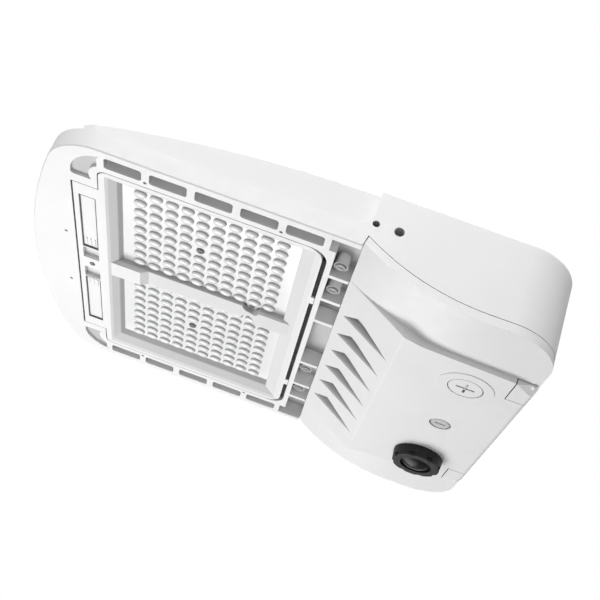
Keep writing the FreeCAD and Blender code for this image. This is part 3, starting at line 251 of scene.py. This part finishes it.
def frame_hollows(material):
    """Painted-shade mask: one on the recess floors of the front frame, and a share of it on the walls of
    its rows of slots.
    """
    x = between(material, part_of(material, "Object", "X"), *SLOTS_X)
    y = between(material, combine(material, "ABSOLUTE", part_of(material, "Object", "Y")), *SLOTS_Y)
    z = part_of(material, "Object", "Z")
    deep = spread(material, z, 0.0, 1.0, *SLOT_HEIGHTS)
    below_deck = combine(material, "LESS_THAN", z, DECK_Z)
    slots = multiply(material, multiply(material, x, y), multiply(material, deep, below_deck))
    walls = multiply(material, slots, SLOT_WALL_SHARE)
    return combine(material, "MAXIMUM", recess_floors(material), walls)


def gill_hollows(material):
    """Painted-shade mask: one in the gills of the door, which lie above the straight line of its ramp."""
    slope = (RAMP_TOP[1] - PANEL_Z) / (RAMP_TOP[0] - PANEL_BEND)
    x = part_of(material, "Object", "X")
    height = combine(material, "MULTIPLY_ADD", x, -slope, part_of(material, "Object", "Z"))
    line = PANEL_Z - slope * PANEL_BEND
    deep = spread(material, height, 0.0, 1.0, line + GILL_DEPTHS[0], line + GILL_DEPTHS[1])
    on_ramp = between(material, x, *GILLS_X)
    in_row = between(material, part_of(material, "Object", "Y"), *GILLS_Y)
    return multiply(material, deep, multiply(material, on_ramp, in_row))


def powder_coat(name, hollows, tone, open_at=GAP_OPEN):
    """White powder coat: fine orange peel, faint clouding, and shade painted darker into gaps and hollows.

    A gap is full white again where the share of open sky over it reaches open_at.
    """
    material, shader = new_material(name, COAT_WHITE, 0.45)
    # Painted shade: ambient occlusion darkens the coat in gaps, and the hollows mask darkens it in
    # recesses.
    gap = material.node_tree.nodes.new("ShaderNodeAmbientOcclusion")
    gap.inputs["Distance"].default_value = GAP_REACH
    gap.samples = GAP_SAMPLES
    open_sky = spread(material, gap.outputs["AO"], 0.0, 1.0, GAP_SHUT, open_at)
    clouds = spread(material, noise(material, CLOUD_SCALE), 0.97, 1.0)
    hollow_shade = spread(material, hollows(material), 1.0, tone, 0.0, 1.0)
    coat = multiply(material, multiply(material, open_sky, clouds), hollow_shade)
    tint(material, shader, coat, COAT_PAINTED_SHADE, COAT_WHITE)
    sheen = spread(material, noise(material, SHEEN_SCALE), 0.40, 0.52)
    material.node_tree.links.new(sheen, shader.inputs["Roughness"])
    bump(material, shader, noise(material, PEEL_SCALE), 0.12, RELIEF_H)
    return material


def grained(name, dark, light, roughness, metallic=0.0, scale=GRAIN_SCALE, relief=0.15, gloss=0.5):
    """Material with a fine grain: its colour runs from dark to light with noise, as its relief does."""
    material, shader = new_material(name, light, roughness, metallic)
    shader.inputs["Specular IOR Level"].default_value = gloss
    grain = noise(material, scale)
    tint(material, shader, spread(material, grain, 0.0, 1.0), dark, light)
    polish = spread(material, noise(material, scale * 0.4), roughness - 0.06, roughness + 0.06)
    material.node_tree.links.new(polish, shader.inputs["Roughness"])
    bump(material, shader, grain, relief, RELIEF_H)
    return material


def lens_acrylic():
    """Moulded acrylic over a white board: a glossy milky white, with shade painted darker on the steep
    sides of a lens.
    """
    material, shader = new_material("lens_acrylic", ACRYLIC_CROWN, 0.20)
    flow = spread(material, noise(material, FLOW_SCALE), 0.97, 1.0)
    # Painted shade: the steep sides of each dome are tinted darker by their normal.
    crown = spread(material, part_of(material, "Normal", "Z"), 0.0, 1.0, 0.0, -0.5)
    tint(material, shader, multiply(material, flow, crown), ACRYLIC_STEEP_SHADE, ACRYLIC_CROWN)
    shader.inputs["Coat Weight"].default_value = 0.3
    shader.inputs["Coat Roughness"].default_value = 0.05
    return material


def dress(frame):
    """Give every CAD node its material."""
    looks = {
        powder_coat("housing_coat", frame_hollows, FRAME_SHADE_TONE): ("main_housing",),
        powder_coat("bezel_coat", funnel_hollows, BEZEL_SHADE_TONE): ("optic_bezel",),
        powder_coat("door_coat", gill_hollows, DOOR_SHADE_TONE): (
            "driver_door", "hinge_tabs", "hinge_pins"),
        powder_coat("plug_coat", gill_hollows, DOOR_SHADE_TONE, PLUG_GAP_OPEN): ("blanking_plug",),
        grained("black_rubber", (0.012, 0.012, 0.012), (0.03, 0.03, 0.03), 0.7, gloss=0.2): (
            "door_gasket", "plug_seal", "sensor_seal", "bezel_gasket", "wire_grommet", "board_grommet"),
        grained("zinc_steel", (0.50, 0.50, 0.49), (0.62, 0.62, 0.61), 0.35, 1.0): (
            "driver_screws", "ground_screw"),
        grained("dark_zinc", (0.15, 0.15, 0.15), (0.23, 0.23, 0.23), 0.55, 0.2, gloss=0.3): (
            "lens_screws", "bezel_screws"),
        grained("dull_zinc", (0.26, 0.26, 0.26), (0.36, 0.36, 0.36), 0.6, 0.3): ("boss_screws",),
        grained("satin_nickel", (0.50, 0.50, 0.50), (0.58, 0.58, 0.58), 0.5, 0.2): ("door_screw",),
        grained("sensor_black", (0.010, 0.010, 0.011), (0.020, 0.020, 0.021), 0.5,
                relief=0.3, gloss=0.26): ("sensor_body",),
        grained("sensor_smoke", (0.012, 0.012, 0.013), (0.018, 0.018, 0.02), 0.3,
                relief=0.02, gloss=0.12): ("sensor_lens",),
        grained("nut_metal", (0.52, 0.52, 0.51), (0.64, 0.64, 0.63), 0.4, 1.0): (
            "plug_locknut", "sensor_locknut"),
        grained("board_mask", (0.82, 0.82, 0.80), (0.88, 0.88, 0.86), 0.35, relief=0.05): (
            "led_board_left", "led_board_right"),
        grained("chip_phosphor", (0.85, 0.70, 0.28), (0.92, 0.80, 0.40), 0.4): (
            "led_chips_left", "led_chips_right"),
        grained("pad_grey", (0.40, 0.41, 0.43), (0.48, 0.49, 0.51), 0.8): ("thermal_pads",),
        grained("driver_can", (0.58, 0.59, 0.60), (0.70, 0.71, 0.72), 0.38, 1.0, 140.0): ("led_driver",),
        grained("surge_case", (0.02, 0.02, 0.024), (0.035, 0.035, 0.04), 0.3): ("surge_protector",),
        grained("terminal_moulding", (0.66, 0.66, 0.63), (0.74, 0.74, 0.71), 0.5): ("terminal_block",),
    }
    for material, names in looks.items():
        for name in names:
            mesh = frame["nodes"][name].data
            mesh.materials.clear()
            mesh.materials.append(material)


def add_mesh(name, points, faces, material):
    """Object at the origin with a mesh of points and faces in one material."""
    mesh = bpy.data.meshes.new(name)
    mesh.from_pydata(points, [], faces)
    mesh.materials.append(material)
    piece = bpy.data.objects.new(name, mesh)
    bpy.context.scene.collection.objects.link(piece)
    return piece


def lens_centres(side, z):
    """Places of the lenses on one plate as an array, leaving out the place of its screw."""
    col, row = np.meshgrid(np.arange(LENS_COLS), np.arange(LENS_ROWS), indexing="ij")
    kept = (col != LENS_SCREW_CELL[0]) | (row != LENS_SCREW_CELL[1])
    x = LENS_MID_X + (col - (LENS_COLS - 1) / 2) * LENS_PITCH
    y = side * (LENS_MID_Y + (row - (LENS_ROWS - 1) / 2) * LENS_PITCH)
    return np.stack([x[kept], y[kept], np.full(kept.sum(), z)], axis=-1)


def dome_points():
    """One oval dome hanging under z = 0, as a grid of rings.

    The ring's half axes follow the fourth root of the cosine of its angle and its drop the sine,
    so that the dome rises steeply from the plate and closes in a flat crown.
    """
    angle = np.linspace(0.0, math.pi / 2, LENS_RINGS)[:, None]
    turn = np.linspace(0.0, 2 * math.pi, LENS_SPOKES, endpoint=False)[None, :]
    width = np.clip(np.cos(angle), 0.0, 1.0) ** 0.25
    x = LENS_HALF_X * width * np.cos(turn)
    y = LENS_HALF_Y * width * np.sin(turn)
    z = -LENS_H * np.sin(angle) + 0.0 * turn
    return np.stack([x, y, z], axis=-1).reshape(-1, 3)


def dome_faces():
    """Quads between neighbouring rings of one dome, facing outwards."""
    index = np.arange(LENS_RINGS * LENS_SPOKES).reshape(LENS_RINGS, LENS_SPOKES)
    after = np.roll(index, -1, axis=1)
    return np.stack([after[:-1], index[:-1], index[1:], after[1:]], axis=-1).reshape(-1, 4)


def slab_outline(low, high, side):
    """Plan of a plate: a rectangle whose inner edge bulges into a round tab for its screw."""
    inner = side * PLATE_INNER_Y
    outer = high.y if side > 0 else low.y
    half_turn = math.asin((PLATE_INNER_Y - TAB_Y) / TAB_R)
    turn = np.linspace(-half_turn, math.pi + half_turn, TAB_POINTS)
    tab_x = TAB_X + TAB_R * np.cos(turn)[::-1]
    tab_y = side * (TAB_Y - TAB_R * np.sin(turn)[::-1])
    x = np.concatenate([[low.x], tab_x, [high.x, high.x, low.x]])
    y = np.concatenate([[inner], tab_y, [inner, outer, outer]])
    outline = np.stack([x, y], axis=-1)
    return outline if side > 0 else outline[::-1]


def lens_plate(node, side, material):
    """Lens plate: the slab of the CAD one, with a smooth oval dome under each lens place."""
    low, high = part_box(node)
    face_z = high.z - LENS_PLATE_T
    centres = lens_centres(side, face_z)
    dome = dome_points()
    domes = (centres[:, None, :] + dome[None, :, :]).reshape(-1, 3)
    shift = np.arange(len(centres))[:, None, None] * len(dome)
    dome_quads = (shift + dome_faces()[None, :, :]).reshape(-1, 4)
    outline = slab_outline(low, high, side)
    count = len(outline)
    lower = np.column_stack([outline, np.full(count, face_z)])
    upper = np.column_stack([outline, np.full(count, high.z)])
    first = len(domes)
    here = first + np.arange(count)
    there = np.roll(here, -1)
    walls = np.stack([here, there, there + count, here + count], axis=-1)
    faces = dome_quads.tolist() + walls.tolist() + [here[::-1].tolist(), (here + count).tolist()]
    piece = add_mesh(node + "_fine", np.concatenate([domes, lower, upper]).tolist(), faces, material)
    piece.data.shade_smooth()
    piece.data.set_sharp_from_angle(angle=SHARP_ANGLE)
    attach(piece, "housing")
    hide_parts(node)


def pocket_shade_ring(name, side, material):
    """Dark ring round a pocket of the tongue, standing in for the shade along its edges: a square-cornered
    ring, almost flush with the rim.

    Its section is a rectangle, so it is four loops of four corners: outer and inner, floor and crown.
    """
    mid = np.array([sum(POCKET_X) / 2, side * sum(POCKET_Y) / 2])
    half = np.array([POCKET_X[1] - POCKET_X[0], POCKET_Y[1] - POCKET_Y[0]]) / 2
    sign = np.array([[-1, -1], [1, -1], [1, 1], [-1, 1]])
    outer = mid + sign * half
    inner = mid + sign * (half - SHADE_RING_W)
    plan = np.concatenate([outer, outer, inner, inner])
    floor = FRAME_Z + POCKET_DEPTH
    crown = FRAME_Z + SHADE_RING_DROP
    z = np.repeat([floor, crown, crown, floor], 4)
    index = np.arange(16).reshape(4, 4)
    next_loop = np.roll(index, -1, axis=0)
    faces = np.stack([
        index, next_loop, np.roll(next_loop, -1, axis=1), np.roll(index, -1, axis=1),
    ], axis=-1).reshape(-1, 4)
    piece = add_mesh(name, np.column_stack([plan, z]).tolist(), faces.tolist(), material)
    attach(piece, "housing")


def make_camera():
    """Camera below the light on its +Y side, as the photograph was taken."""
    right = Vector(CAMERA_RIGHT).normalized()
    up = Vector(CAMERA_UP)
    up = (up - right * up.dot(right)).normalized()
    back = right.cross(up)
    data = bpy.data.cameras.new("camera")
    data.sensor_fit = "HORIZONTAL"
    data.angle = 2 * math.atan(PHOTO_PX / 2 / FOCAL_PX)
    data.clip_start = 0.01
    camera = bpy.data.objects.new("camera", data)
    turn = Matrix((right, up, back)).transposed().to_4x4()
    camera.matrix_world = Matrix.Translation(CAMERA_PLACE) @ turn
    bpy.context.scene.collection.objects.link(camera)
    bpy.context.scene.camera = camera


def add_area(name, place, target, side, watts):
    """Square area lamp at a place, turned to a target."""
    data = bpy.data.lights.new(name, "AREA")
    data.size = side
    data.energy = watts
    lamp = bpy.data.objects.new(name, data)
    direction = Vector(target) - Vector(place)
    turn = direction.to_track_quat("-Z", "Y").to_matrix().to_4x4()
    lamp.matrix_world = Matrix.Translation(place) @ turn
    lamp.visible_camera = False
    bpy.context.scene.collection.objects.link(lamp)


def make_world():
    """World that is white to the camera, to mirrors and to glass, and lights as a soft ambient."""
    world = bpy.data.worlds.new("world")
    world.use_nodes = True
    tree = world.node_tree
    tree.nodes.clear()
    path = tree.nodes.new("ShaderNodeLightPath")
    seen_by = path.outputs["Is Camera Ray"]
    for ray in ("Is Glossy Ray", "Is Transmission Ray"):
        larger = tree.nodes.new("ShaderNodeMath")
        larger.operation = "MAXIMUM"
        tree.links.new(seen_by, larger.inputs[0])
        tree.links.new(path.outputs[ray], larger.inputs[1])
        seen_by = larger.outputs["Value"]
    mix = tree.nodes.new("ShaderNodeMixShader")
    tree.links.new(seen_by, mix.inputs["Fac"])
    for slot, strength in ((1, AMBIENT), (2, 1.0)):
        sky = tree.nodes.new("ShaderNodeBackground")
        sky.inputs["Color"].default_value = (1.0, 1.0, 1.0, 1.0)
        sky.inputs["Strength"].default_value = strength
        tree.links.new(sky.outputs["Background"], mix.inputs[slot])
    output = tree.nodes.new("ShaderNodeOutputWorld")
    tree.links.new(mix.outputs["Shader"], output.inputs["Surface"])
    bpy.context.scene.world = world


def floor_white():
    """Floor that lights as a pale plain surface, and that the camera sees as an even off-white."""
    material = grained("floor_white", (0.88, 0.88, 0.88), (0.92, 0.92, 0.92), 0.85, scale=8.0)
    tree = material.node_tree
    path = tree.nodes.new("ShaderNodeLightPath")
    glow = tree.nodes.new("ShaderNodeEmission")
    glow.inputs["Strength"].default_value = FLOOR_SEEN
    mix = tree.nodes.new("ShaderNodeMixShader")
    tree.links.new(path.outputs["Is Camera Ray"], mix.inputs["Fac"])
    tree.links.new(tree.nodes["Principled BSDF"].outputs["BSDF"], mix.inputs[1])
    tree.links.new(glow.outputs["Emission"], mix.inputs[2])
    tree.links.new(mix.outputs["Shader"], tree.nodes["Material Output"].inputs["Surface"])
    return material


def make_floor():
    """Pale floor well below the light."""
    half = FLOOR_SIDE / 2
    plan = ((-half, -half), (half, -half), (half, half), (-half, half))
    corners = [(x, y, FLOOR_Z) for x, y in plan]
    floor = add_mesh("floor", corners, [(0, 1, 2, 3)], floor_white())


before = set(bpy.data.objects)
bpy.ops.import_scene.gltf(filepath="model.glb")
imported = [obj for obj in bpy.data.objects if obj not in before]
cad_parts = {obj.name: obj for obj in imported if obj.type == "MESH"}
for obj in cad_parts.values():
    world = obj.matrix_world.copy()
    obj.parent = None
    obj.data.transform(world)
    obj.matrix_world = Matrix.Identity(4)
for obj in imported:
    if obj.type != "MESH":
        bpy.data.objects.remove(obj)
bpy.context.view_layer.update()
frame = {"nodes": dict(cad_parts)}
dress(frame)
acrylic = lens_acrylic()
lens_plate("lens_plate_left", 1, acrylic)
lens_plate("lens_plate_right", -1, acrylic)
# A dark ring in each pocket of the tongue stands in for the shade along the pocket's edges.
shade_ring_dark = grained("shade_ring_dark", (0.11, 0.11, 0.11), (0.15, 0.15, 0.15), 0.7, gloss=0.2)
pocket_shade_ring("pocket_shade_ring_left", 1, shade_ring_dark)
pocket_shade_ring("pocket_shade_ring_right", -1, shade_ring_dark)
make_camera()
make_world()
make_floor()
for lamp in LAMPS:
    add_area(*lamp)
bpy.context.scene.view_settings.view_transform = "Standard"
